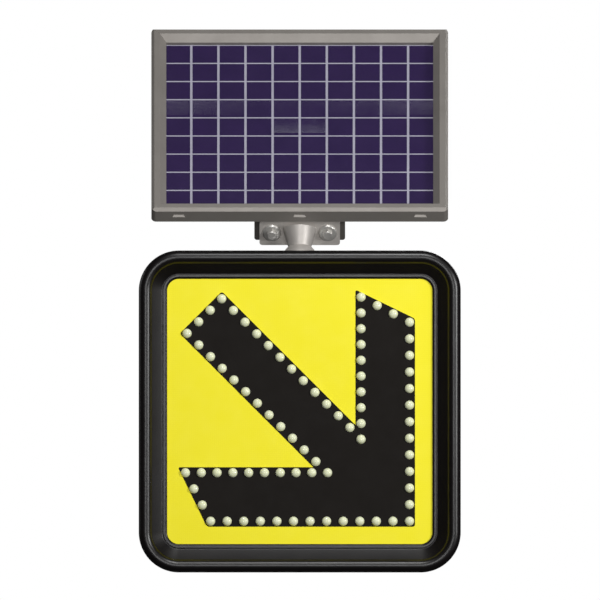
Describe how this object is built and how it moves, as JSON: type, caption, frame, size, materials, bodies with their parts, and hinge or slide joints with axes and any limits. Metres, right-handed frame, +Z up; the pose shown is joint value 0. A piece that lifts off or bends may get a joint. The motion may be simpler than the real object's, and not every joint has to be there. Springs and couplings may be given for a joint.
{
  "type": "solar led arrow sign",
  "caption": "Square solar-powered road sign: a yellow face with a black diagonal arrow edged in LED lamps, under a tilting solar panel on a ball swivel, clamped to a post.",
  "frame": {"origin": "centre of the upper post clamp, on the post's axis", "axes": "+Z up along the post, the sign looks along -Y, +X to the viewer's right"},
  "size_m": [0.6, 0.4137, 1.0118],
  "materials": {
    "bezel_plastic": "semi-gloss moulded black",
    "seal_rubber": "matt closed-cell rubber",
    "yellow_sheet": "retroreflective sheeting, fine cells",
    "black_film": "satin cut film",
    "aluminium_plate": "mill finish",
    "lens_plastic": "ivory diffusing dome",
    "zinc_steel": "zinc plated",
    "led_resin": "clear amber resin",
    "circuit_board": "green solder mask",
    "brass_parts": "plated brass",
    "housing_plastic": "fine-textured black moulding",
    "battery_case": "moulded grey case",
    "strap_webbing": "woven strap",
    "controller_case": "blue moulded case",
    "terminal_plastic": "green terminal block",
    "wire_red": "insulated wire",
    "fitting_plastic": "moulded nylon",
    "galvanised_steel": "hot-dip galvanised",
    "cast_aluminium": "cast, lightly blasted",
    "nylon_seat": "natural nylon",
    "arm_casting": "warm grey painted casting",
    "bracket_paint": "dark grey painted steel",
    "rail_aluminium": "mill finish extrusion",
    "frame_paint": "warm grey anodised frame",
    "cell_glass": "low-iron solar glass",
    "cell_silicon": "dark violet-blue silicon",
    "backsheet_film": "lavender-grey laminate film",
    "lock_metal": "nickel plated",
    "rocker_red": "red moulded rocker"
  },
  "bodies": {
    "sign": {"front_bezel": "bezel_plastic", "bezel_gasket": "seal_rubber", "yellow_sheeting": "yellow_sheet", "arrow_film": "black_film", "face_panel": "aluminium_plate", "face_spacer": "seal_rubber", "led_lenses": "lens_plastic", "lens_retainers": "zinc_steel", "led_emitters": "led_resin", "led_board": "circuit_board", "board_standoffs": "brass_parts", "rear_housing": "housing_plastic", "housing_gasket": "seal_rubber", "housing_screws": "zinc_steel", "battery_shelf": "zinc_steel", "battery": "battery_case", "battery_terminals": "brass_parts", "battery_strap": "strap_webbing", "charge_controller": "controller_case", "controller_terminals": "terminal_plastic", "cable_loom": "wire_red", "cable_gland": "fitting_plastic", "vent_plug": "fitting_plastic", "mounting_channel": "galvanised_steel", "channel_bolts": "zinc_steel", "clamp_saddles": "cast_aluminium", "saddle_bolts": "zinc_steel", "clamp_caps": "cast_aluminium", "clamp_bolts": "zinc_steel", "swivel_base": "cast_aluminium", "swivel_base_bolts": "zinc_steel", "clamp_ring": "cast_aluminium", "ring_screws": "zinc_steel", "hinge_leaf_housing": "zinc_steel", "hinge_pins": "zinc_steel", "door_gasket": "seal_rubber", "switch_body": "fitting_plastic"},
    "ball_seat": {"seat_lower": "nylon_seat", "seat_upper": "nylon_seat"},
    "panel_head": {"swivel_arm": "arm_casting", "arm_bolts": "arm_casting", "panel_bracket": "bracket_paint", "bracket_bolts": "zinc_steel", "panel_rails": "rail_aluminium", "rail_bolts": "zinc_steel", "frame_rail_bottom": "frame_paint", "frame_rail_top": "frame_paint", "frame_rail_left": "frame_paint", "frame_rail_right": "frame_paint", "corner_keys": "rail_aluminium", "panel_glass": "cell_glass", "solar_cells": "cell_silicon", "backsheet": "backsheet_film", "junction_box": "fitting_plastic", "junction_lid": "fitting_plastic"},
    "door": {"service_door": "housing_plastic", "hinge_leaf_door": "zinc_steel", "lock_body": "lock_metal"},
    "cam": {"lock_cam": "lock_metal"},
    "rocker": {"power_rocker": "rocker_red"}
  },
  "joints": [
    {"name": "panel_pan", "type": "hinge", "parent": "sign", "child": "ball_seat", "pos_m": [0, -0.111, 0.1313], "axis": [0, 0, 1], "range_deg": [-180, 180]},
    {"name": "panel_tilt", "type": "hinge", "parent": "ball_seat", "child": "panel_head", "pos_m": [0, -0.111, 0.1313], "axis": [1, 0, 0], "range_deg": [-8, 40]},
    {"name": "door_swing", "type": "hinge", "parent": "sign", "child": "door", "pos_m": [0.249, -0.061, -0.22], "axis": [0, 0, -1], "range_deg": [0, 110]},
    {"name": "lock_turn", "type": "hinge", "parent": "door", "child": "cam", "pos_m": [0.085, -0.064, -0.22], "axis": [0, 1, 0], "range_deg": [0, 90]},
    {"name": "switch_rock", "type": "hinge", "parent": "sign", "child": "rocker", "pos_m": [-0.15, -0.0665, -0.3], "axis": [1, 0, 0], "range_deg": [0, 16]}
  ]
}
